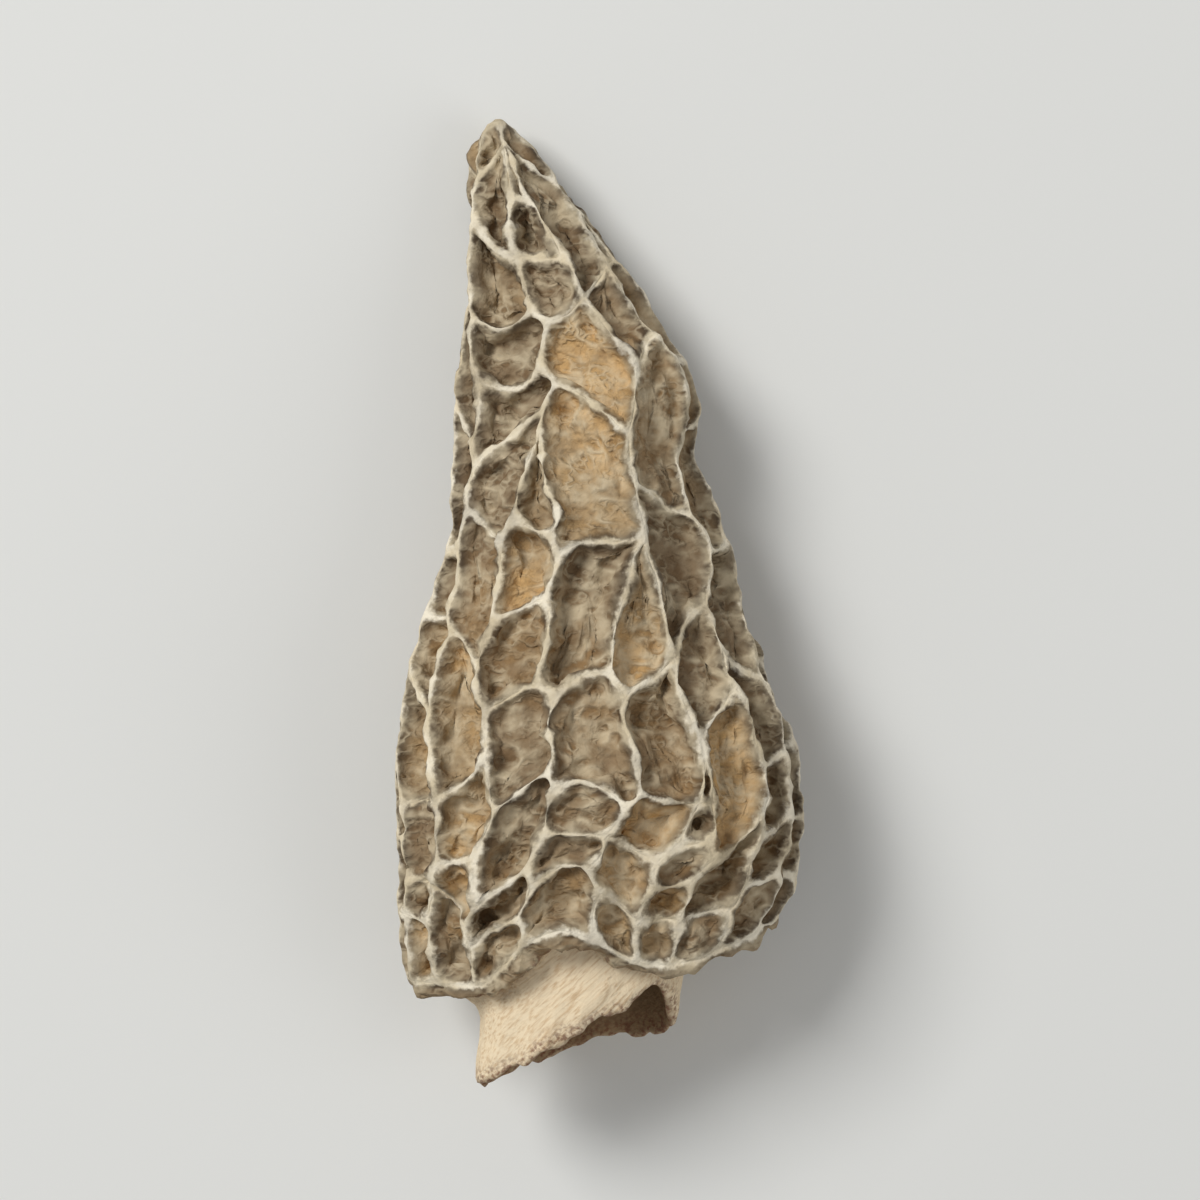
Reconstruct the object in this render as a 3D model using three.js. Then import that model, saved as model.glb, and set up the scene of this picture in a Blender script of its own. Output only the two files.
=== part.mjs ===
// A dried morel mushroom, cut off just below its cap and lying on its side.
// Millimetres, +Z up. The tip points along +Y and the cut stem along -Y, and it rests on z = 0.
//
// Cap and stem grew as one hollow piece, so they are one closed shell. Outside, a net of thin
// raised ribs walls off deep pits; inside, a smooth hollow runs from the tip to the cut stem.
// Angles go round the mushroom's length: 0 is its right side, 90 its top and 180 its left.
import * as THREE from 'three';
import { ImprovedNoise } from 'three/addons/math/ImprovedNoise.js';
import { mergeVertices } from 'three/addons/utils/BufferGeometryUtils.js';

const { clamp, degToRad, lerp, radToDeg, seededRandom, smoothstep } = THREE.MathUtils;
const TURN = 2 * Math.PI;

// The cap's sides seen from above, and its underside and top seen from the side, along its length
const CAP_OUTLINE = [
  { y: 5.5, left: -11.0, right: 8.6, under: 1.7, top: 12.4 },
  { y: 9.0, left: -11.7, right: 10.2, under: 0.8, top: 14.2 },
  { y: 13.0, left: -12.1, right: 11.9, under: 0.2, top: 15.4 },
  { y: 17.5, left: -12.1, right: 12.5, under: 0.0, top: 15.8 },
  { y: 21.5, left: -11.9, right: 11.7, under: 0.0, top: 15.3 },
  { y: 25.5, left: -11.4, right: 10.2, under: 0.0, top: 14.4 },
  { y: 30.0, left: -10.5, right: 8.9, under: 0.0, top: 13.3 },
  { y: 34.0, left: -9.6, right: 7.7, under: 0.0, top: 12.4 },
  { y: 37.5, left: -9.1, right: 6.0, under: 0.0, top: 11.7 },
  { y: 41.0, left: -8.7, right: 6.2, under: 0.0, top: 11.0 },
  { y: 44.0, left: -8.4, right: 5.3, under: 0.1, top: 10.1 },
  { y: 47.5, left: -8.3, right: 2.9, under: 0.2, top: 8.8 },
  { y: 51.0, left: -8.2, right: 0.8, under: 0.3, top: 7.5 },
  { y: 54.5, left: -8.1, right: -1.7, under: 0.7, top: 6.3 },
  { y: 57.3, left: -7.7, right: -4.2, under: 1.3, top: 5.1 },
  { y: 58.6, left: -6.9, right: -5.4, under: 2.2, top: 4.0 },
];
const TIP_Y = CAP_OUTLINE.at(-1).y;

// The cap's lower edge, arched over the top of the stem, and the torn end of the stem
const CAP_EDGE = [
  { angle: 0, y: 10.9 },
  { angle: 35, y: 9.0 },
  { angle: 62, y: 7.9 },
  { angle: 78, y: 8.4 },
  { angle: 92, y: 10.1 },
  { angle: 104, y: 9.7 },
  { angle: 120, y: 7.2 },
  { angle: 150, y: 6.6 },
  { angle: 180, y: 6.9 },
  { angle: 225, y: 7.6 },
  { angle: 270, y: 8.2 },
  { angle: 315, y: 9.6 },
];
const TORN_END = [
  { angle: 0, y: 3.9 },
  { angle: 18, y: 5.0 },
  { angle: 40, y: 6.6 },
  { angle: 75, y: 4.8 },
  { angle: 95, y: 3.4 },
  { angle: 155, y: 0.6 },
  { angle: 180, y: 0.5 },
  { angle: 212, y: 0.2 },
  { angle: 240, y: 1.4 },
  { angle: 285, y: 2.9 },
  { angle: 330, y: 3.2 },
];
const RAGGED = { edge: 0.22, end: 0.4, reach: 1.7 };

// Broad swellings and hollows that drying left in the cap
const LUMPS = [
  { angle: 58, y: 41.5, turn: 34, length: 5.5, height: 1.1 },
  { angle: 112, y: 45.0, turn: 24, length: 9.0, height: -0.9 },
  { angle: 38, y: 31.0, turn: 20, length: 5.0, height: -0.9 },
  { angle: 128, y: 19.0, turn: 30, length: 7.0, height: 0.8 },
  { angle: 88, y: 30.0, turn: 22, length: 12.0, height: 0.5 },
  { angle: 200, y: 33.0, turn: 26, length: 9.0, height: -0.9 },
  { angle: 245, y: 17.0, turn: 24, length: 7.0, height: -0.8 },
  { angle: 318, y: 24.0, turn: 26, length: 8.0, height: -0.7 },
];
const UNEVEN = { height: 0.55, reach: 9 };

// The stem is a flattened tube with a fold slanting across its top, under the cap's turned-in lip
const STEM = { x: -0.2, z: 8.6, lean: 0.12, halfWidth: 5.95, halfDepth: 3.7, wall: 0.75 };
const FLUTES = { height: 0.55, across: 1.5, along: 9 };
const FOLD = { from: 58, to: 128, reach: 8.5, height: 0.5, width: 0.75 };
const LIP = { inset: 0.3, deepInset: 0.95, drop: 0.6 };
const HOLLOW = { neckInset: 4.2, inset: 2.9, rises: [0.1, 0.2, 0.32, 0.44, 0.56, 0.67, 0.76], end: 0.81 };

// The net: ribs climb from the cap's lower edge to its tip, and lower rungs join them
const SEED = 857;
const ROWS = 42;
const RIB_SPACING = [
  { y: 7, gap: 2.7 },
  { y: 13, gap: 3.1 },
  { y: 18, gap: 3.8 },
  { y: 30, gap: 4.1 },
  { y: 42, gap: 3.7 },
  { y: 59, gap: 2.8 },
];
const RUNG_SPACING = [
  { y: 7, gap: 2.4 },
  { y: 14, gap: 3.2 },
  { y: 20, gap: 5.2 },
  { y: 40, gap: 5.6 },
  { y: 59, gap: 3.4 },
];
const FIRST_RIB = degToRad(251);
const UNEVEN_GAPS = 0.3;
const EVENING = 0.08;
const ROWS_TO_MEET = 4;
const RUNG = { shortest: 0.55, longest: 1.5, drop: 0.35, extraDrop: 0.6, bow: 0.5, pull: 0.3 };
const SWAY = { width: 0.7, reach: 6.5 };
const CRINKLE = 0.15;
const MOST_ASIDE = 0.14;
const RIB = { shoulder: 0.17, foot: 0.46, crown: 0.1, uneven: 0.3, unevenReach: 2.6, step: 1.3 };
const PIT = { shallow: 0.95, deep: 2.0, floor: 1.1, edgeFade: 3.2, tipFade: 7.0, fullRadius: 3.2 };
const TIP_NUB = 0.3;

// In the narrow corners of the pits the ribs are thinner and the pits shallower
const NARROW = { shoulder: 0.12, foot: 0.3, mitre: 2, width: 1.4, sharp: 1.4, depth: 0.5, mostRoom: 9 };

// How far the lowest ribs were pressed flat where the mushroom lies
const PRESSED_FLAT = 0.55;

const noise = new ImprovedNoise();

// Random but smooth, between about -0.7 and 0.7; each layer gives another pattern
function roughness(point, reach, layer = 0) {
  return noise.noise(point.x / reach + 7.3 * layer, point.y / reach, point.z / reach - 3.1 * layer);
}

// Smooth curves through the listed points
const outlineCurve = new THREE.CubicInterpolant(
  CAP_OUTLINE.map((s) => s.y),
  CAP_OUTLINE.flatMap((s) => [s.left, s.right, s.under, s.top]),
  4,
);

function closedCurve(points) {
  const round = [...points, { ...points[0], angle: 360 }];
  const curve = new THREE.CubicInterpolant(round.map((p) => p.angle), round.map((p) => p.y), 1);
  curve.settings = { endingStart: THREE.WrapAroundEnding, endingEnd: THREE.WrapAroundEnding };
  return (angle) => curve.evaluate(((radToDeg(angle) % 360) + 360) % 360)[0];
}

function ragged(curve, height, layer) {
  const along = (angle) => new THREE.Vector3(Math.cos(angle) * 8, 0, Math.sin(angle) * 8);
  return (angle) => curve(angle) + height * roughness(along(angle), RAGGED.reach, layer);
}

const capEdgeY = ragged(closedCurve(CAP_EDGE), RAGGED.edge, 4);
const tornEndY = ragged(closedCurve(TORN_END), RAGGED.end, 5);

// Signed difference of two angles, the short way round
function turnBetween(a, b) {
  return Math.atan2(Math.sin(a - b), Math.cos(a - b));
}

function swelling(angle, y) {
  const broad = LUMPS.map((l) => {
    const across = turnBetween(angle, degToRad(l.angle)) / degToRad(l.turn);
    const along = (y - l.y) / l.length;
    return l.height * Math.exp(-across * across - along * along);
  });
  const place = new THREE.Vector3(Math.cos(angle) * UNEVEN.reach, y, Math.sin(angle) * UNEVEN.reach);
  const fade = smoothstep(TIP_Y - y, 0, PIT.tipFade);
  return (broad.reduce((sum, h) => sum + h) + UNEVEN.height * roughness(place, UNEVEN.reach)) * fade;
}

// A point of the cap, at a share of the way from its lower edge to its tip, inset from its skin
function capPoint(angle, rise, inset = 0) {
  const y = lerp(capEdgeY(angle), TIP_Y, rise);
  const [left, right, under, top] = outlineCurve.evaluate(y);
  const grown = swelling(angle, y) - inset;
  return new THREE.Vector3(
    (left + right) / 2 + ((right - left) / 2 + grown) * Math.cos(angle),
    y,
    (under + top) / 2 + ((top - under) / 2 + grown) * Math.sin(angle),
  );
}

function capNormal(angle, rise) {
  const step = 0.01;
  const low = Math.min(rise, 1 - step);
  const round = capPoint(angle + step, low).sub(capPoint(angle - step, low));
  const up = capPoint(angle, low + step).sub(capPoint(angle, low));
  return up.cross(round).normalize();
}

// Places on the net's map are { angle, rise }; ribs sway a little off their straight course
function sway({ angle, rise }) {
  const straight = capPoint(angle, rise);
  const perTurn = Math.max(straight.distanceTo(capPoint(angle + 0.1, rise)) / 0.1, 1);
  const nearTip = smoothstep(1 - rise, 0, 0.16);
  const nearEdge = smoothstep(rise, 0, 0.08);
  const aside = SWAY.width * nearTip * roughness(straight, SWAY.reach, 1);
  const along = SWAY.width * nearTip * nearEdge * roughness(straight, SWAY.reach, 2);
  return { angle: angle + aside / perTurn, rise: rise + along / (TIP_Y - capEdgeY(angle)) };
}

function skinPoint(place, sink = 0) {
  const { angle, rise } = sway(place);
  return capPoint(angle, rise).addScaledVector(capNormal(angle, rise), -sink);
}

// Rows divide the map evenly from the cap's lower edge to its tip
const ROW_HEIGHT = (TIP_Y - capEdgeY(0)) / ROWS;
const rowY = (row) => TIP_Y - ROW_HEIGHT * (ROWS - row);

function girthAt(row) {
  const [left, right, under, top] = outlineCurve.evaluate(rowY(row));
  return (Math.PI / 2) * (right - left + top - under);
}

function gapAt(row, spacing) {
  const next = clamp(spacing.findIndex((s) => s.y > rowY(row)), 1, spacing.length - 1);
  const [from, to] = [spacing[next - 1], spacing[next]];
  return lerp(from.gap, to.gap, clamp((rowY(row) - from.y) / (to.y - from.y), 0, 1));
}

// Columns lie between neighbouring ribs. Where the cap has grown too narrow for them all, the two ribs
// beside the narrowest column run together, and the column ends there.
function growColumns() {
  const count = Math.round(girthAt(0) / gapAt(0, RIB_SPACING));
  const columns = Array.from({ length: count }, () => ({
    weight: 1 + UNEVEN_GAPS * (2 * seededRandom() - 1),
    end: ROWS,
  }));
  const total = (of) => columns.reduce((sum, c) => sum + of(c), 0);
  const startWeight = total((c) => c.weight);
  columns.forEach((c) => (c.widths = [(TURN * c.weight) / startWeight]));
  for (let row = 1; row <= ROWS; row++) {
    endNarrowest(columns, row);
    const weight = total((c) => c.weight);
    const open = total((c) => (c.weight > 0 ? c.widths[row - 1] : 0));
    columns.forEach((c) => {
      const aim = c.weight > 0 ? (open * c.weight) / weight : c.widths[row - 1];
      c.widths.push(lerp(c.widths[row - 1], aim, EVENING));
    });
    columns.forEach((c, i) => c.weight === 0 && handOver(columns, i, row));
  }
  return columns;
}

// A column that is ending hands its width, bit by bit, to the open columns on both sides
function handOver(columns, i, row) {
  const given = columns[i].widths[row] / Math.max(columns[i].end - row + 1, 1);
  const open = (c) => c.weight > 0;
  const before = columns.slice(0, i).findLast(open) ?? columns.findLast(open);
  const after = columns.slice(i + 1).find(open) ?? columns.find(open);
  columns[i].widths[row] -= given;
  before.widths[row] += given / 2;
  after.widths[row] += given / 2;
}

function endNarrowest(columns, row) {
  const room = Math.max(Math.round(girthAt(row) / gapAt(row, RIB_SPACING)), 3);
  if (columns.filter((c) => c.weight > 0).length <= room || row > ROWS - ROWS_TO_MEET) return;
  const settled = (c) => !c || c.weight > 0 || c.end <= row;
  const free = columns
    .slice(0, -1)
    .filter((c, i) => c.weight > 0 && settled(columns[i - 1]) && settled(columns[i + 1]))
    .sort((a, b) => a.widths[row - 1] - b.widths[row - 1]);
  if (free.length) Object.assign(free[0], { weight: 0, end: row + ROWS_TO_MEET });
}

// Rungs cross a column at uneven distances, many of them slanting
function rungsOf(column) {
  const rungs = [];
  let row = 0;
  for (;;) {
    const length = gapAt(row, RUNG_SPACING) * lerp(RUNG.shortest, RUNG.longest, seededRandom());
    const rows = Math.max(2, Math.round(length / ROW_HEIGHT));
    const slant = rows > 3 ? Math.floor(seededRandom() * 3) - 1 : 0;
    row += rows;
    if (row > column.end - 2) return rungs;
    const drop = RUNG.drop + RUNG.extraDrop * seededRandom();
    rungs.push({ left: row + slant, right: row - slant, drop, bow: RUNG.bow * (2 * seededRandom() - 1) });
  }
}

seededRandom(SEED);
const columns = growColumns();
columns.forEach((c) => (c.rungs = rungsOf(c)));
const crinkles = columns.map(() =>
  Array.from({ length: ROWS + 1 }, () => CRINKLE * (2 * seededRandom() - 1)),
);

// Rib i runs up the left of column i. Ribs that have run together share the leftmost one's place.
function sharedRib(rib, row) {
  let shared = rib % columns.length;
  while (shared > 0 && columns[shared - 1].weight === 0 && columns[shared - 1].end <= row) shared--;
  return shared;
}

// Every rung pulls both its ribs a little towards it
function pullOn(shared, row) {
  const pulls = columns.flatMap((c, i) =>
    c.rungs.map((rung) => {
      const fromLeft = rung.left === row && sharedRib(i, row) === shared ? 1 : 0;
      const fromRight = rung.right === row && sharedRib(i + 1, row) === shared ? 1 : 0;
      return fromLeft - fromRight;
    }),
  );
  return RUNG.pull * clamp(pulls.reduce((sum, p) => sum + p), -1, 1);
}

// The narrowest room beside a rib, in millimetres; where ribs have just run together there is none
function roomBeside(shared, row) {
  let right = shared;
  const rooms = [columns.at(shared - 1).widths[row]];
  while (columns[right % columns.length].weight === 0 && columns[right % columns.length].end <= row) {
    rooms.push((TURN * (row - columns[right % columns.length].end) * ROW_HEIGHT) / girthAt(row));
    right++;
  }
  rooms.push(columns[right % columns.length].widths[row]);
  return (Math.min(...rooms) * girthAt(row)) / TURN;
}

function ribPoint(rib, row) {
  const straight = columns.slice(0, rib).reduce((sum, c) => sum + c.widths[row], FIRST_RIB);
  const shared = sharedRib(rib, row);
  const most = MOST_ASIDE * roomBeside(shared, row);
  const aside = clamp(crinkles[shared][row] + pullOn(shared, row), -most, most);
  return { angle: straight + (aside * TURN) / girthAt(row), rise: row / ROWS, drop: 0 };
}

function rungPoints(column, { left, right, drop = 0, bow = 0 }) {
  const from = ribPoint(column, left);
  const to = ribPoint(column + 1, right);
  const steps = Math.max(1, Math.round(skinPoint(from).distanceTo(skinPoint(to)) / RIB.step));
  const between = Array.from({ length: steps - 1 }, (_, k) => {
    const share = (k + 1) / steps;
    const arch = Math.sin(Math.PI * share);
    return {
      angle: lerp(from.angle, to.angle, share),
      rise: lerp(from.rise, to.rise, share) + (bow * arch) / (ROW_HEIGHT * ROWS),
      drop: drop * arch,
    };
  });
  return [from, ...between, to];
}

// The outlines of a column's pits, as crest points in order round each pit
function pitOutlines(column, i) {
  const ends = { left: column.end, right: column.end };
  const levels = [{ left: 0, right: 0 }, ...column.rungs, ends];
  const crossings = levels.map((level) => rungPoints(i, level));
  if (column.weight === 0) crossings[crossings.length - 1] = [ribPoint(i, column.end)];
  const rowsBetween = (from, to) =>
    Array.from({ length: Math.max(to - from - 1, 0) }, (_, n) => from + 1 + n);
  return levels.slice(1).map((upper, k) => [
    ...crossings[k],
    ...rowsBetween(levels[k].right, upper.right).map((row) => ribPoint(i + 1, row)),
    ...crossings[k + 1].toReversed(),
    ...rowsBetween(levels[k].left, upper.left).toReversed().map((row) => ribPoint(i, row)),
  ]);
}

const triangles = [];
const face = (...corners) => triangles.push(...corners);
const bridge = (a, b) =>
  a.forEach((_, i) => {
    const j = (i + 1) % a.length;
    face(a[i], b[i], a[j]);
    face(a[j], b[i], b[j]);
  });
const fan = (ring, middle) => ring.forEach((p, i) => face(p, middle, ring[(i + 1) % ring.length]));

// How far it is across a flat outline from one of its corners, straight ahead
function roomAhead(flat, i, way) {
  const crossings = flat.map((start, j) => {
    const next = (j + 1) % flat.length;
    if (j === i || next === i) return Infinity;
    const side = new THREE.Vector2().subVectors(flat[next], start);
    const away = new THREE.Vector2().subVectors(start, flat[i]);
    const slant = way.cross(side);
    const share = away.cross(way) / slant;
    const ahead = away.cross(side) / slant;
    return share > -0.01 && share < 1.01 && ahead > 0 ? ahead : Infinity;
  });
  return Math.min(...crossings, NARROW.mostRoom);
}

// For each corner of a flat outline that runs anticlockwise: the way inwards and the room there.
// It is square to both sides on a straight stretch and less so the sharper the corner is.
function waysIn(flat) {
  return flat.map((corner, i) => {
    const before = new THREE.Vector2().subVectors(corner, flat.at(i - 1)).normalize();
    const after = new THREE.Vector2().subVectors(flat[(i + 1) % flat.length], corner).normalize();
    const way = new THREE.Vector2(-before.y - after.y, before.x + after.x).normalize();
    const square = -way.x * after.y + way.y * after.x;
    const mitre = 1 / Math.max(square, 1 / NARROW.mitre);
    return { corner, way, square, mitre, room: roomAhead(flat, i, way) };
  });
}

// The corners moved inwards by a distance, or less where there is little room
function inset(ways, distance, mostOfRoom) {
  return ways.map(({ corner, way, mitre, room }) =>
    corner.clone().addScaledVector(way, Math.min(distance * mitre, mostOfRoom * room)),
  );
}

// The place inside a flat outline that keeps farthest from the lines of all its sides
function heartOf(flat) {
  const box = new THREE.Box2().setFromPoints(flat);
  const steps = Array.from({ length: 19 }, (_, k) => (k + 0.5) / 19);
  const places = steps.flatMap((u) =>
    steps.map((v) => new THREE.Vector2(lerp(box.min.x, box.max.x, u), lerp(box.min.y, box.max.y, v))),
  );
  const clearance = (place) =>
    Math.min(
      ...flat.map((start, i) => {
        const side = new THREE.Vector2().subVectors(flat[(i + 1) % flat.length], start).normalize();
        return side.cross(new THREE.Vector2().subVectors(place, start));
      }),
    );
  return places.reduce((best, place) => (clearance(place) > clearance(best) ? place : best));
}

// The skin round a place laid out flat, in millimetres, and the way back from there to the skin
function layFlat(around) {
  const perRise = ROW_HEIGHT * ROWS;
  const perTurn = (rise) => {
    const [before, after] = [-0.05, 0.05].map((turn) => capPoint(around.angle + turn, rise));
    return Math.max(before.distanceTo(after) / 0.1, 0.5);
  };
  const flatten = ({ angle, rise }) =>
    new THREE.Vector2((angle - around.angle) * perTurn(rise), rise * perRise);
  const onSkin = ({ x, y }, sink) => {
    const rise = y / perRise;
    return skinPoint({ angle: around.angle + x / perTurn(rise), rise }, sink);
  };
  return { perTurn, flatten, onSkin };
}

function pitDepth(middle) {
  const y = skinPoint(middle).y;
  const nearEdge = smoothstep(y - capEdgeY(middle.angle), 0, PIT.edgeFade);
  const nearTip = smoothstep(TIP_Y - y, -3, PIT.tipFade);
  return lerp(PIT.shallow, PIT.deep, seededRandom()) * lerp(0.5, 1, Math.min(nearEdge, nearTip));
}

// How far a crest point lies under the skin: ribs are uneven, and rungs sag between theirs
function crestSink(crest) {
  const ends = smoothstep(crest.rise, 0, 0.04) * smoothstep(1 - crest.rise, 0, 0.04);
  return (crest.drop + RIB.uneven * roughness(skinPoint(crest), RIB.unevenReach, 3)) * ends;
}

// The share of its depth that a pit has at each corner, evened out between neighbours
function depthShares(ways, radii) {
  const shares = ways.map(({ room, square }, i) => {
    const narrow = clamp(Math.min(room / NARROW.width, square * NARROW.sharp), NARROW.depth, 1);
    return narrow * clamp(radii[i] / PIT.fullRadius, 0.15, 1);
  });
  return shares.map((s, i) => (shares.at(i - 1) + 2 * s + shares[(i + 1) % shares.length]) / 4);
}

// One pit: its crest, the shoulder and foot of the ribs about it, and its dished floor
function addPit(crest) {
  const middle = {
    angle: crest.reduce((sum, c) => sum + c.angle, 0) / crest.length,
    rise: crest.reduce((sum, c) => sum + c.rise, 0) / crest.length,
  };
  const { perTurn, flatten, onSkin } = layFlat(middle);
  const depth = pitDepth(middle);
  const sinks = crest.map(crestSink);
  const ways = waysIn(crest.map(flatten));
  const shares = depthShares(ways, crest.map((c) => perTurn(c.rise)));
  const feet = inset(ways, RIB.foot, NARROW.foot);

  const top = crest.map((c, i) => skinPoint(c, sinks[i]));
  const shoulder = inset(ways, RIB.shoulder, NARROW.shoulder).map((flat, i) =>
    onSkin(flat, sinks[i] + RIB.crown),
  );
  const foot = feet.map((flat, i) =>
    onSkin(flat, Math.max(depth * shares[i], sinks[i] + 2 * RIB.crown)),
  );
  bridge(top, shoulder);
  bridge(shoulder, foot);
  fan(foot, onSkin(heartOf(feet), depth * PIT.floor));
  return { crest, top };
}

// A point of the stem's fluted wall at a height along it, inset from its outside
function stemPoint(angle, y, inset = 0) {
  const [x, z] = [Math.cos(angle) * STEM.halfWidth, Math.sin(angle) * STEM.halfWidth];
  const foldAngle = degToRad(lerp(FOLD.from, FOLD.to, (capEdgeY(angle) - y) / FOLD.reach));
  const offFold = (turnBetween(angle, foldAngle) * STEM.halfWidth) / FOLD.width;
  const fold = FOLD.height * Math.exp(-offFold * offFold) * smoothstep(capEdgeY(angle) - y, 1.2, 3);
  const rough = FLUTES.height * noise.noise(x / FLUTES.across, y / FLUTES.along, z / FLUTES.across);
  const flute = rough + fold - inset;
  return new THREE.Vector3(
    STEM.x + STEM.lean * (y - capEdgeY(0)) + (STEM.halfWidth + flute) * Math.cos(angle),
    y,
    STEM.z + (STEM.halfDepth + flute) * Math.sin(angle),
  );
}

// From the cap's lower edge under its lip, down the stem, round its torn end and back up the hollow
function addStemAndHollow(edge) {
  const junctionY = (angle) => capEdgeY(angle) - 1.1 + 0.6 * Math.cos(angle) + 0.6 * Math.sin(angle);
  const down = (point, drop) => point.setY(point.y - drop);
  const rings = [
    edge.map((e) => e.point),
    edge.map(({ angle }) => down(capPoint(angle, 0, LIP.inset), LIP.drop)),
    edge.map(({ angle }) => down(capPoint(angle, 0, LIP.deepInset), LIP.drop * 0.6)),
    edge.map(({ angle }) => {
      const root = capPoint(angle, 0, LIP.deepInset).lerp(stemPoint(angle, junctionY(angle)), 0.6);
      return down(root, -0.2);
    }),
    ...[0, 0.5, 1].map((share) =>
      edge.map(({ angle }) => stemPoint(angle, lerp(junctionY(angle) - 0.3, tornEndY(angle), share))),
    ),
    ...[1, 0.4].map((share) =>
      edge.map(({ angle }) => {
        const y = lerp(junctionY(angle), tornEndY(angle) + 0.08, share);
        return stemPoint(angle, y, STEM.wall);
      }),
    ),
    edge.map(({ angle }) => stemPoint(angle, capEdgeY(angle) + 0.9, STEM.wall)),
    ...HOLLOW.rises.map((rise, i) =>
      edge.map(({ angle }) => capPoint(angle, rise, i ? HOLLOW.inset : HOLLOW.neckInset)),
    ),
  ];
  rings.slice(1).forEach((ring, i) => bridge(rings[i], ring));
  const end = capPoint(0, HOLLOW.end).add(capPoint(Math.PI, HOLLOW.end)).multiplyScalar(0.5);
  fan(rings.at(-1), end);
}

function morelGeometry() {
  const pits = columns.flatMap(pitOutlines).map(addPit);

  // Crest points on the cap's lower edge and round the tip, in order of angle
  const endOf = (end) => {
    const found = new Map();
    pits.forEach(({ crest, top }) =>
      crest.forEach((c, i) => {
        if (c.rise !== end) return;
        const order = ((c.angle % TURN) + TURN) % TURN;
        found.set(order.toFixed(5), { angle: sway(c).angle, order, point: top[i] });
      }),
    );
    return [...found.values()].sort((a, b) => a.order - b.order);
  };
  addStemAndHollow(endOf(0).toReversed());
  const tip = endOf(1).map((e) => e.point);
  const middle = tip.reduce((sum, p) => sum.add(p), new THREE.Vector3()).divideScalar(tip.length);
  fan(tip, middle.add(new THREE.Vector3(0, TIP_NUB, 0)));

  // It lies on its lowest ribs, which were pressed flat
  const lowest = Math.min(...triangles.map((p) => p.z));
  const flat = triangles.flatMap((p) => [p.x, p.y, Math.max(p.z - lowest - PRESSED_FLAT, 0)]);
  const geometry = new THREE.BufferGeometry();
  geometry.setAttribute('position', new THREE.Float32BufferAttribute(flat, 3));
  const joined = mergeVertices(geometry, 1e-3);
  joined.computeBoundingBox();
  const middleOfBox = joined.boundingBox.getCenter(new THREE.Vector3());
  joined.translate(-middleOfBox.x, -middleOfBox.y, 0);
  joined.computeVertexNormals();
  return joined;
}

const flesh = new THREE.MeshStandardMaterial({ color: 0x8a7355, roughness: 0.85, metalness: 0 });
const morel = new THREE.Mesh(morelGeometry(), flesh);
morel.name = 'morel';

const part = new THREE.Group();
part.add(morel);

export default part;
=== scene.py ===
"""A dried morel mushroom, lying on its side on a pale surface and seen from straight above."""

import math

import bmesh
import bpy
import numpy as np
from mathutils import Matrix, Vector, noise


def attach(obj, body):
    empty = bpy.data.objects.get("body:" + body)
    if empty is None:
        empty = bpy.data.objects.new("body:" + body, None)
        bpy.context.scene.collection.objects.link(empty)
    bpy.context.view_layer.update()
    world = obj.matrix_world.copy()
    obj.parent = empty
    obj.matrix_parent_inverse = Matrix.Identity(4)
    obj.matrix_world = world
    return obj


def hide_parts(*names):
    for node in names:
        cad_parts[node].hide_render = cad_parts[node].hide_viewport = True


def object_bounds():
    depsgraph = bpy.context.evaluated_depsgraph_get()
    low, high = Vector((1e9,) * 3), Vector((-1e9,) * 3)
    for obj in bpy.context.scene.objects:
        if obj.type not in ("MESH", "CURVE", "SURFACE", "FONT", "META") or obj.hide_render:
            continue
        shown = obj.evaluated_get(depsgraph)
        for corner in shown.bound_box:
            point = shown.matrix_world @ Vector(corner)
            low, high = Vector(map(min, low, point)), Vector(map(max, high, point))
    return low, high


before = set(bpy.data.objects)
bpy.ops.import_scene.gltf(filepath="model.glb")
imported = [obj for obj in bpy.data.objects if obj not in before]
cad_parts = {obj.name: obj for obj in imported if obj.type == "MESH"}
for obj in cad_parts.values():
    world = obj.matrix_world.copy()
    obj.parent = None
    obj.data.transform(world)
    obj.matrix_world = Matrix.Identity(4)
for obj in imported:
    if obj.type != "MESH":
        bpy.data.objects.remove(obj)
cad_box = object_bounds()

# The mushroom: cap and stem stump grew as one hollow piece of thin flesh, which drying made leathery.
# The net of ribs, the lip and the torn stem are the frame's own shape. It is rounded here, and gets
# the crinkled rib edges, the creased pit floors and the stem's fibres that drying drew into it.
MM = 0.001

# Its net: a pit is a middle point, foot points of five edges round it, then shoulders and rib crests
MIDDLE_EDGES = range(4, 40)
FOOT_EDGES = 5
SHOULDER_MARK = 0.5
CRISPNESS = {"crest": 0.45, "shoulder": 0.25, "foot": 0.32}
TINT_CELL = 0.7 * MM


def beside(point):
    return [edge.other_vert(point) for edge in point.link_edges]


def is_middle(point):
    if len(point.link_edges) not in MIDDLE_EDGES:
        return False
    return all(len(foot.link_edges) == FOOT_EDGES for foot in beside(point))


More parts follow.
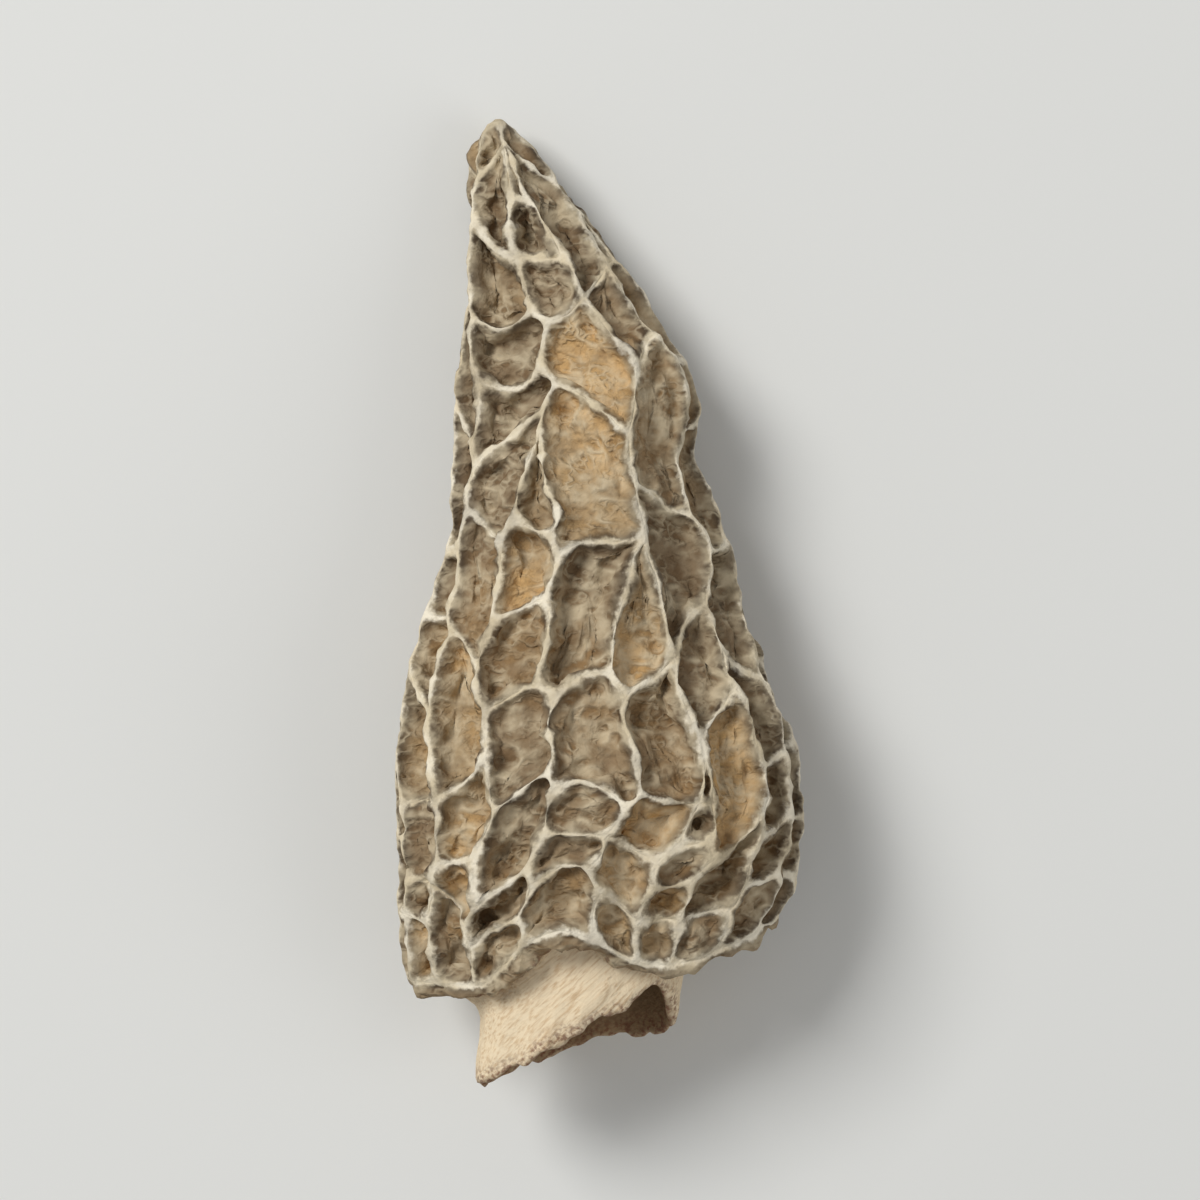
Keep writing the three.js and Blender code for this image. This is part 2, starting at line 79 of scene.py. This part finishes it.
def mark_ribs(shape):
    """Marks the ribs, gives each pit a tint of its own, and keeps crests, shoulders and feet crisp."""
    rib = shape.verts.layers.float.new("rib")
    tint = shape.verts.layers.float.new("tint")
    crispness = shape.edges.layers.float.new("crease_edge")
    middles = [point for point in shape.verts if is_middle(point)]
    feet = {foot for middle in middles for foot in beside(middle)}
    shoulders = {high for foot in feet for high in beside(foot)} - feet - set(middles)
    crests = {high for shoulder in shoulders for high in beside(shoulder)} - shoulders - feet
    for point in shoulders:
        point[rib] = SHOULDER_MARK
    for point in crests:
        point[rib] = 1
    for middle in middles:
        shade = noise.cell(middle.co / TINT_CELL)
        walls = {high for foot in beside(middle) for high in beside(foot)} & shoulders
        for point in [middle, *beside(middle), *walls]:
            point[tint] = shade
    for edge in shape.edges:
        for name, points in {"crest": crests, "shoulder": shoulders, "foot": feet}.items():
            if all(end in points for end in edge.verts):
                edge[crispness] = CRISPNESS[name]


# Its rings of points, counted from the hollow's end: the torn stem, the stem's root and the cap's edge
TORN_RING = 10
ROOT_RING = 14
EDGE_RING = 17
STEM_AT_ROOT = 0.6
# Russet rings: the tear is brown torn flesh; at the stem's root and the cap's lip the russet is partly
# painted shade
BROWNED_AND_LIP_SHADE_RINGS = {TORN_RING: 1, TORN_RING + 1: 1, ROOT_RING: 0.5, ROOT_RING + 1: 0.8}


def mark_stem(shape):
    """Marks the hollow's lining, the stem, the brown tear, and the cap's lip, where the russet is partly
    painted shade.
    """
    lining = shape.verts.layers.float.new("lining")
    stem = shape.verts.layers.float.new("stem")
    browned_and_lip_shade = shape.verts.layers.float.new("browned_and_lip_shade")
    ring = {max(shape.verts, key=lambda point: len(point.link_edges))}
    seen = set(ring)
    for count in range(EDGE_RING):
        for point in ring:
            point[lining] = float(count <= TORN_RING)
            point[stem] = STEM_AT_ROOT if count == ROOT_RING else float(TORN_RING < count < ROOT_RING)
            point[browned_and_lip_shade] = BROWNED_AND_LIP_SHADE_RINGS.get(count, 0)
        ring = {other for point in ring for other in beside(point)} - seen
        seen |= ring


# How its facets are welded, paired and rounded
WELD = 0.003 * MM
PAIRING_ANGLE = math.radians(40)
ANY_SHAPE = math.radians(180)
ROUNDING = 2


def rounded_copy(node_name):
    """The frame's faceted flesh, with its ribs marked, its triangles paired and then rounded."""
    shape = bmesh.new()
    shape.from_mesh(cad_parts[node_name].data)
    bmesh.ops.remove_doubles(shape, verts=shape.verts, dist=WELD)
    shape.normal_update()
    mark_ribs(shape)
    mark_stem(shape)
    bmesh.ops.join_triangles(
        shape,
        faces=shape.faces,
        angle_face_threshold=PAIRING_ANGLE,
        angle_shape_threshold=ANY_SHAPE,
    )
    mesh = bpy.data.meshes.new("morel_faceted")
    shape.to_mesh(mesh)
    shape.free()
    source = bpy.data.objects.new("morel_faceted", mesh)
    bpy.context.scene.collection.objects.link(source)
    rounding = source.modifiers.new("rounding", "SUBSURF")
    rounding.levels = ROUNDING
    rounding.render_levels = ROUNDING
    ready = source.evaluated_get(bpy.context.evaluated_depsgraph_get())
    rounded = bpy.data.meshes.new_from_object(ready)
    bpy.data.objects.remove(source)
    rounded.name = "morel_flesh"
    return rounded


def points_of(mesh):
    points = np.empty(len(mesh.vertices) * 3)
    mesh.vertices.foreach_get("co", points)
    return points.reshape(-1, 3)


def put_points(mesh, points):
    mesh.vertices.foreach_set("co", points.ravel())
    mesh.update()


def normals_of(mesh, points):
    """The surface's normals with its points at these places."""
    put_points(mesh, points)
    normals = np.empty(len(mesh.vertices) * 3)
    mesh.vertex_normals.foreach_get("vector", normals)
    return normals.reshape(-1, 3)


def marks_of(mesh, name):
    values = np.empty(len(mesh.vertices), np.float32)
    mesh.attributes[name].data.foreach_get("value", values)
    return np.clip(values, 0, 1)


def relaxed(mesh, values, passes):
    """The values after each has been drawn to its neighbours' middle, again and again."""
    edges = np.empty(len(mesh.edges) * 2, int)
    mesh.edges.foreach_get("vertices", edges)
    here, there = edges.reshape(-1, 2).T
    ends = np.concatenate([here, there])
    others = np.concatenate([there, here])
    count = np.bincount(ends, minlength=len(values))
    for _ in range(passes):
        middle = [np.bincount(ends, column[others]) / count for column in values.T]
        values = (values + np.stack(middle, axis=1)) / 2
    return values


CALM_PASSES = 40
morel_mesh = rounded_copy("morel")
points = points_of(morel_mesh)
calm_normals = normals_of(morel_mesh, relaxed(morel_mesh, points, CALM_PASSES))
normals = normals_of(morel_mesh, points)

stem = marks_of(morel_mesh, "stem")
lining = marks_of(morel_mesh, "lining")
browned_and_lip_shade = marks_of(morel_mesh, "browned_and_lip_shade")
cap = (1 - stem) * (1 - lining)
rib = marks_of(morel_mesh, "rib") * cap
pit = cap * (1 - rib)

# Its crinkles: how far each kind goes in or out, and how long its waves are
SWAY = {"size": 0.30 * MM, "reach": 3.2 * MM}
WAVER = {"size": 0.16 * MM, "reach": 1.5 * MM}
CRINKLE = {"size": 0.06 * MM, "reach": 0.7 * MM}
CRINKLE_OFF_CAP = 0.4
RIB_RISE = {"size": 0.22 * MM, "reach": 1.4 * MM}
PUCKER = {"size": 0.75 * MM, "reach": 1.7 * MM}
PLEAT = {"size": 0.16 * MM, "reach": 0.8 * MM}
RAGGED = {"size": 0.30 * MM, "reach": 0.8 * MM}
TEAR_FROM = -19 * MM
TEAR_TO = -21 * MM
CREASE = {"height": 0.5 * MM, "long": 3.2 * MM, "short": 1.6 * MM, "width": 0.24}
UPRIGHT_CREASES = 0.7
FIBRE = {"height": 0.10 * MM, "across": 0.9 * MM, "along": 6.0 * MM, "slant": 1.1}
FIBRE_FLATNESS = 0.5

# How far apart one layer of random waves is taken from the next
WAVE_STEP = (3.7, 1.9, -2.3)
CREASE_STEP = (5.1, -2.9, 4.3)
AXIS_LAYERS = 20


def soft_noise(places, reach, step, layer):
    """A smooth random value at each place, from a layer of its own."""
    away = Vector([layer * part for part in step])
    return np.array([noise.noise(Vector(place) / reach + away) for place in places])


def waves(points, size, reach, layer):
    """A smooth random height at each point."""
    return size * soft_noise(points, reach, WAVE_STEP, layer)


def drift(points, size, reach, layer):
    """A smooth random shift of each point, across, along and up."""
    shifts = [waves(points, size, reach, layer + AXIS_LAYERS * axis) for axis in range(3)]
    return np.stack(shifts, axis=1)


def creases(points, across, along, layer):
    """1 on thin wandering lines, and 0 between them."""
    squeezed = points / np.array([across, along, across])
    from_line = np.abs(soft_noise(squeezed, 1, CREASE_STEP, layer))
    return np.clip(1 - from_line / CREASE["width"], 0, 1)


def fibres(points):
    """Fibres that climb the stem on a slant, low on top and deeper between."""
    slanted = points.copy()
    slanted[:, 0] -= FIBRE["slant"] * points[:, 1]
    slanted /= np.array([FIBRE["across"], FIBRE["along"], FIBRE["across"]])
    values = soft_noise(slanted, 1, WAVE_STEP, layer=0)
    return values - np.abs(values) * FIBRE_FLATNESS


def smooth_between(low, high, values):
    share = np.clip((values - low) / (high - low), 0, 1)
    return share * share * (3 - 2 * share)


crossways = creases(points, CREASE["long"], CREASE["short"], layer=1)
upright = creases(points, CREASE["short"], CREASE["long"], layer=2)
rise = CREASE["height"] * np.maximum(crossways, UPRIGHT_CREASES * upright) * pit
rise += waves(points, **PLEAT, layer=7) * cap
rise += waves(points, **RIB_RISE, layer=8) * rib
rise += FIBRE["height"] * fibres(points) * stem

crinkled = CRINKLE_OFF_CAP + (1 - CRINKLE_OFF_CAP) * cap
torn = browned_and_lip_shade * smooth_between(TEAR_FROM, TEAR_TO, points[:, 1])
moved = points + normals * rise[:, None]
moved += calm_normals * (waves(points, **PUCKER, layer=5) * pit)[:, None]
moved += drift(points, **SWAY, layer=3) * cap[:, None]
moved += drift(points, **WAVER, layer=9) * rib[:, None]
moved += drift(points, **CRINKLE, layer=4) * crinkled[:, None]
moved[:, 1] += waves(points, **RAGGED, layer=6) * torn

# Every shift fades out towards the limits of its size, and where it lies flat there is none upwards
FLAT_BELOW = 0.3 * MM
LEAST_ROOM = 0.0001 * MM
low, high = (np.array(corner) for corner in cad_box)
shift = moved - points
shift[:, 2] *= smooth_between(0, FLAT_BELOW, points[:, 2])
room = np.maximum(np.where(shift > 0, high - points, points - low), LEAST_ROOM)
put_points(morel_mesh, np.clip(points + room * np.tanh(shift / room), low, high))
for face in morel_mesh.polygons:
    face.use_smooth = True

# What its colours follow: ribs and pits, stem and lining, painted shade where ribs close a place in, and
# how warm in colour
PAINTED_SHADE_PASSES = 30
WARM_PLACES = [
    {"x": 1.8 * MM, "y": 12.5 * MM, "reach": 5.0 * MM},
    {"x": -0.5 * MM, "y": -5.5 * MM, "reach": 5.6 * MM},
    {"x": 6.5 * MM, "y": -15.0 * MM, "reach": 5.6 * MM},
    {"x": -6.0 * MM, "y": -18.0 * MM, "reach": 5.0 * MM},
    {"x": -6.0 * MM, "y": -1.0 * MM, "reach": 3.2 * MM},
]
warm = np.zeros(len(points))
for spot in WARM_PLACES:
    apart = np.hypot(points[:, 0] - spot["x"], points[:, 1] - spot["y"])
    warm += np.exp(-((apart / spot["reach"]) ** 2))
# Painted shade: the rib mark spread out, so narrow pits and the feet of the ribs read as shaded
painted_shade_mask = relaxed(morel_mesh, rib[:, None], PAINTED_SHADE_PASSES)[:, 0]
marks = {"rib": rib, "pit": pit, "painted_shade_mask": painted_shade_mask, "warm": warm, "stem": stem, "lining": lining}
for name, values in marks.items():
    held = morel_mesh.attributes.get(name) or morel_mesh.attributes.new(name, "FLOAT", "POINT")
    held.data.foreach_set("value", values.astype(np.float32))


# Its finish: pits golden to grey-brown, with painted shade almost black where they are deep, ribs dry
# pale cream
def colour(red, green, blue):
    """A colour as it looks, 0 to 255, as Blender's materials take it."""
    shares = (value / 255 for value in (red, green, blue))
    return (*(s / 12.92 if s < 0.04045 else ((s + 0.055) / 1.055) ** 2.4 for s in shares), 1)


GOLDEN = colour(204, 165, 110)
GREY_BROWN = colour(157, 134, 100)
UMBER = colour(108, 84, 58)
PAINTED_SHADE_DARK = colour(50, 41, 32)
# The near-black of the painted shade in narrow pits and at rib feet
CREAM = colour(242, 232, 210)
PALE_RIB = colour(216, 200, 168)
STEM_CREAM = colour(236, 217, 184)
STEM_TAN = colour(196, 162, 120)
LINING = colour(150, 122, 88)
RUSSET = colour(112, 66, 46)

# The reach of each kind of mottling
GOLDEN_PATCHES = 5.0 * MM
UMBER_MOTTLING = 1.2 * MM
WRINKLED_PATCHES = 2.0 * MM
RIB_EDGES = 0.6 * MM
CREAM_PATCHES = 3.0 * MM
FADED_PATCHES = 2.2 * MM
STREAKS = 0.14 * MM
SPECKS = 0.3 * MM
SHEEN_PATCHES = 0.6 * MM
SKIN = 0.5 * MM
WRINKLES = {"reach": 2.8 * MM, "width": 0.14, "along": 0.6}
SMALL_WRINKLES = {"reach": 1.2 * MM, "width": 0.13, "along": 0.7}
STREAK_LENGTH = 22
STREAK_TURN = -48
RELIEF = 0.14 * MM
RELIEF_STRENGTH = 0.7

flesh = bpy.data.materials.new("dried_flesh")
flesh.use_nodes = True
tree = flesh.node_tree
shader = tree.nodes["Principled BSDF"]
place = tree.nodes.new("ShaderNodeTexCoord").outputs["Object"]


def node(kind, settings, inputs):
    """A new node; each input, named or numbered, takes a value or another node's output."""
    made = tree.nodes.new(kind)
    for name, value in settings.items():
        setattr(made, name, value)
    for key, value in inputs.items():
        if isinstance(value, bpy.types.NodeSocket):
            tree.links.new(value, made.inputs[key])
        else:
            made.inputs[key].default_value = value
    return made


def grain(reach, detail=3, roughness=0.55, along=None, turn=0):
    """Soft random mottling of that reach; if asked, stretched along the turned mushroom."""
    where = place
    if along:
        turned = {"Vector": place, "Rotation": (0, 0, math.radians(turn)), "Scale": (1, along, 1)}
        where = node("ShaderNodeMapping", {"vector_type": "TEXTURE"}, turned).outputs[0]
    look = {"Vector": where, "Scale": 1 / reach, "Detail": detail, "Roughness": roughness}
    return node("ShaderNodeTexNoise", {}, look).outputs["Fac"]


def held_value(name):
    return node("ShaderNodeAttribute", {"attribute_name": name}, {}).outputs["Fac"]


def ramp(value, low, high, to_low=0.0, to_high=1.0):
    """The value eased from one range to another."""
    ranges = {"From Min": low, "From Max": high, "To Min": to_low, "To Max": to_high}
    eased = {"interpolation_type": "SMOOTHSTEP"}
    return node("ShaderNodeMapRange", eased, {"Value": value, **ranges}).outputs[0]


def blend(share, first, second):
    """The first colour, with that share of the second."""
    inputs = {0: share, 6: first, 7: second}
    return node("ShaderNodeMix", {"data_type": "RGBA"}, inputs).outputs[2]


def combine(kind, first, second):
    return node("ShaderNodeMath", {"operation": kind}, {0: first, 1: second}).outputs[0]


def plus(first, second):
    return combine("ADD", first, second)


def times(first, second):
    return combine("MULTIPLY", first, second)


def swing(value, size):
    """How far a value is from one half, times the size."""
    return times(combine("SUBTRACT", value, 0.5), size)


def wrinkles(reach, width, along):
    """Thin lines, most of them crossways, where soft mottling is halfway."""
    from_halfway = combine("ABSOLUTE", swing(grain(reach, 2, 0.5, along), 1.0), 0.0)
    return ramp(from_halfway, 0.0, width, 1.0, 0.0)


# The pits
wrinkle = combine("MAXIMUM", wrinkles(**WRINKLES), times(wrinkles(**SMALL_WRINKLES), 0.7))
warmth = plus(held_value("warm"), swing(grain(GOLDEN_PATCHES, 4, 0.6), 1.2))
warmth = plus(warmth, swing(held_value("tint"), 0.3))
mottled = ramp(grain(UMBER_MOTTLING, 5, 0.7), 0.35, 0.7, to_high=0.6)
darker_pit = ramp(held_value("tint"), 0.5, 0.0, to_high=0.65)
in_shade = ramp(held_value("painted_shade_mask"), 0.22, 0.55, to_high=0.75)
# Pale wrinkle lines in the pits: partly paler dried veins, partly painted highlight on the wrinkle
# crests
pale_veins_and_highlight = times(wrinkle, ramp(grain(WRINKLED_PATCHES), 0.35, 0.65, 0.15, 0.75))
tone = blend(ramp(warmth, -0.2, 0.8), GREY_BROWN, GOLDEN)
tone = blend(mottled, tone, UMBER)
tone = blend(darker_pit, tone, UMBER)
# Painted shade: narrow pits and the feet of the ribs darkened towards almost black
tone = blend(in_shade, tone, PAINTED_SHADE_DARK)
tone = blend(pale_veins_and_highlight, tone, PALE_RIB)

# The ribs, with worn edges and places where the cream has faded
rib_edge = ramp(plus(held_value("rib"), swing(grain(RIB_EDGES, 4), 1.0)), 0.52, 0.9)
faded = ramp(grain(FADED_PATCHES, 3, 0.6), 0.3, 0.6, 0.6, 1.0)
rib_tone = blend(ramp(grain(CREAM_PATCHES, 4, 0.6), 0.35, 0.65), PALE_RIB, CREAM)
tone = blend(times(rib_edge, faded), tone, rib_tone)

# The stem's slanting streaks, the hollow's lining, brown specks at the tear, and russet specks at the
# lip that are partly painted shade where cap and stem meet
streak = grain(STREAKS, 3, 0.5, along=STREAK_LENGTH, turn=STREAK_TURN)
stem_tone = blend(ramp(streak, 0.4, 0.75, to_high=0.7), STEM_CREAM, STEM_TAN)
specks = times(ramp(grain(SPECKS, 3), 0.4, 0.65), ramp(held_value("browned_and_lip_shade"), 0.3, 1.0))
tone = blend(held_value("stem"), tone, stem_tone)
tone = blend(held_value("lining"), tone, LINING)
# Russet specks: brown flesh at the tear, and partly painted shade at the cap's lip
tone = blend(times(specks, 0.75), tone, RUSSET)

# The skin: dry, with a fine grain, the fibres of the stem and the wrinkles of the pits
skin = plus(times(grain(SKIN, 5, 0.6), 1.5), times(streak, 0.5))
skin = plus(skin, times(times(wrinkle, 1.8), held_value("pit")))
relief = node("ShaderNodeBump", {}, {"Height": skin, "Strength": RELIEF_STRENGTH, "Distance": RELIEF})
tree.links.new(tone, shader.inputs["Base Color"])
tree.links.new(ramp(grain(SHEEN_PATCHES), 0.3, 0.7, 0.72, 0.95), shader.inputs["Roughness"])
tree.links.new(relief.outputs[0], shader.inputs["Normal"])
shader.inputs["Specular IOR Level"].default_value = 0.3

morel = bpy.data.objects.new("dried_morel", morel_mesh)
bpy.context.scene.collection.objects.link(morel)
morel_mesh.materials.clear()
morel_mesh.materials.append(flesh)
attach(morel, "root")
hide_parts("morel")

# The surface it lies on: a wide matt board, very pale grey.
# It is one flat sheet at the height of the mushroom's lowest points.
FLOOR_HALF = 1.5
BOARD = colour(226, 226, 222)
BOARD_ROUGHNESS = 0.9
floor_shape = bmesh.new()
bmesh.ops.create_grid(floor_shape, x_segments=1, y_segments=1, size=FLOOR_HALF)
floor_mesh = bpy.data.meshes.new("floor")
floor_shape.to_mesh(floor_mesh)
floor_shape.free()
floor = bpy.data.objects.new("floor", floor_mesh)
bpy.context.scene.collection.objects.link(floor)
board = bpy.data.materials.new("pale_board")
board.use_nodes = True
board.node_tree.nodes["Principled BSDF"].inputs["Base Color"].default_value = BOARD
board.node_tree.nodes["Principled BSDF"].inputs["Roughness"].default_value = BOARD_ROUGHNESS
floor_mesh.materials.append(board)

# The light: a large soft lamp up on the left, a weaker one on the right, and a pale room.
# Both lamps point at the mushroom.
LAMPS = [
    {"name": "left_lamp", "place": (-0.45, 0.35, 0.6), "size": 0.35, "power": 5.0},
    {"name": "right_lamp", "place": (0.6, -0.2, 0.5), "size": 0.5, "power": 0.9},
]
ROOM = colour(245, 246, 248)
ROOM_STRENGTH = 0.36
for lamp in LAMPS:
    light = bpy.data.lights.new(lamp["name"], "AREA")
    light.size = lamp["size"]
    light.energy = lamp["power"]
    holder = bpy.data.objects.new(lamp["name"], light)
    holder.location = lamp["place"]
    holder.rotation_euler = (-Vector(lamp["place"])).to_track_quat("-Z", "Y").to_euler()
    bpy.context.scene.collection.objects.link(holder)
room_light = bpy.data.worlds.new("room")
room_light.use_nodes = True
room_light.node_tree.nodes["Background"].inputs["Color"].default_value = ROOM
room_light.node_tree.nodes["Background"].inputs["Strength"].default_value = ROOM_STRENGTH
bpy.context.scene.world = room_light

# The camera: it looks straight down, with the tip at the top of the picture.
# A long lens keeps the sides from spreading, and colours are shown as they are.
LENS = 150
SENSOR = 36
NEAREST = 0.01
SEEN_WIDTH = 0.072
camera = bpy.data.objects.new("camera", bpy.data.cameras.new("camera"))
camera.data.lens = LENS
camera.data.sensor_width = SENSOR
camera.data.clip_start = NEAREST
centre = (Vector(cad_box[0]) + Vector(cad_box[1])) / 2
camera.location = centre + Vector((0, 0, SEEN_WIDTH * LENS / SENSOR))
bpy.context.scene.collection.objects.link(camera)
bpy.context.scene.camera = camera
bpy.context.scene.view_settings.view_transform = "Standard"
